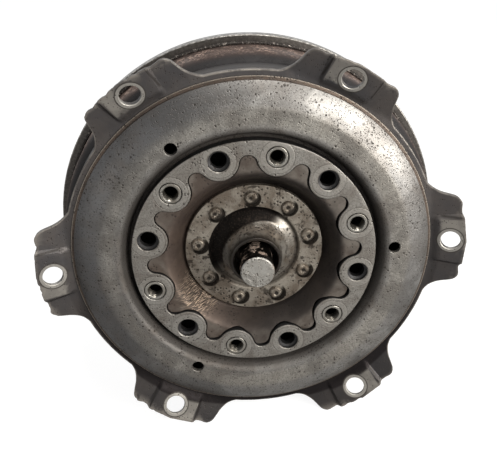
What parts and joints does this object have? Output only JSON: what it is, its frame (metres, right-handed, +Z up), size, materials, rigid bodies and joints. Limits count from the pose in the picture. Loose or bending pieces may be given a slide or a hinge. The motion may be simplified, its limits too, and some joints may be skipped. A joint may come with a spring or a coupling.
{
  "type": "torque converter",
  "caption": "Car torque converter with an eared drive flange, a lobed bolt ring, a crank spigot and a slotted pump neck, with turbine, stator and lock-up clutch inside.",
  "frame": {"origin": "centre of the crank spigot's end face", "axes": "spin axis along Y, with the engine side facing -Y and the transmission side +Y; +Z up, standing on two ears and the rear rim"},
  "size_m": [0.28, 0.1513, 0.2646],
  "materials": {
    "spigot_steel": "machined steel, pitted, oily flanks",
    "pitted_steel": "satin steel with fine pitting and stains",
    "rivet_steel": "pitted rivet heads",
    "oily_steel": "dark brown oily pressed steel",
    "dark_steel": "dark grey pressed steel",
    "rusty_steel": "brown rust film with bright specks",
    "shell_steel": "pale grey pressed steel",
    "bright_steel": "turned and ground steel",
    "plain_steel": "pressed steel, oiled",
    "spring_steel": "blued spring wire",
    "cast_aluminium": "fine cast aluminium",
    "friction_paper": "brown friction paper",
    "seal_plastic": "black seal ring"
  },
  "bodies": {
    "housing": {"crank_spigot": "spigot_steel", "hub_flange": "pitted_steel", "hub_rivet_1": "rivet_steel", "hub_rivet_2": "rivet_steel", "hub_rivet_3": "rivet_steel", "hub_rivet_4": "rivet_steel", "hub_rivet_5": "rivet_steel", "hub_rivet_6": "rivet_steel", "hub_rivet_7": "rivet_steel", "hub_rivet_8": "rivet_steel", "hub_rivet_9": "rivet_steel", "inner_drive_plate": "oily_steel", "bolt_ring": "pitted_steel", "bolt_sleeve_1": "bright_steel", "bolt_sleeve_2": "bright_steel", "bolt_sleeve_3": "bright_steel", "bolt_sleeve_4": "bright_steel", "bolt_sleeve_5": "bright_steel", "bolt_sleeve_6": "bright_steel", "dome_plate": "pitted_steel", "drive_flange": "dark_steel", "skirt_ring": "dark_steel", "front_cover": "rusty_steel", "impeller_shell": "shell_steel", "impeller_hub": "bright_steel", "impeller_vanes": "plain_steel", "cover_thrust_washer": "bright_steel", "rear_bearing_race": "plain_steel", "rear_needle_bearing": "plain_steel"},
    "turbine": {"turbine_shell": "plain_steel", "turbine_vanes": "plain_steel", "turbine_hub": "bright_steel", "piston_seal": "seal_plastic", "front_bearing_race": "plain_steel", "front_needle_bearing": "plain_steel", "damper_driven_plate": "plain_steel"},
    "damper": {"damper_retainer": "plain_steel", "damper_spring_1": "spring_steel", "damper_spring_2": "spring_steel", "damper_spring_3": "spring_steel", "damper_spring_4": "spring_steel"},
    "piston": {"lockup_piston": "plain_steel", "friction_lining": "friction_paper"},
    "inner_race": {"clutch_inner_race": "bright_steel"},
    "stator": {"stator_wheel": "cast_aluminium", "clutch_outer_race": "bright_steel", "clutch_washer_front": "plain_steel", "clutch_washer_rear": "plain_steel", "clutch_roller_1": "bright_steel", "clutch_roller_2": "bright_steel", "clutch_roller_3": "bright_steel", "clutch_roller_4": "bright_steel", "clutch_roller_5": "bright_steel", "clutch_roller_6": "bright_steel"}
  },
  "joints": [
    {"name": "turbine_spin", "type": "hinge", "parent": "housing", "child": "turbine", "pos_m": [0, 0.0883, 0], "axis": [0, 1, 0], "continuous": true},
    {"name": "damper_twist", "type": "hinge", "parent": "turbine", "child": "damper", "pos_m": [0, 0.0617, 0], "axis": [0, 1, 0], "range_deg": [-6, 6], "stiffness_Nm_per_rad": 120, "deforming": ["damper_spring_1", "damper_spring_2", "damper_spring_3", "damper_spring_4"]},
    {"name": "piston_slide", "type": "slide", "parent": "damper", "child": "piston", "axis": [0, 1, 0], "range_m": [-0.0012, 0]},
    {"name": "inner_race_spin", "type": "hinge", "parent": "housing", "child": "inner_race", "pos_m": [0, 0.09, 0], "axis": [0, 1, 0], "continuous": true},
    {"name": "stator_freewheel", "type": "hinge", "parent": "inner_race", "child": "stator", "pos_m": [0, 0.09, 0], "axis": [0, 1, 0], "continuous": true}
  ]
}
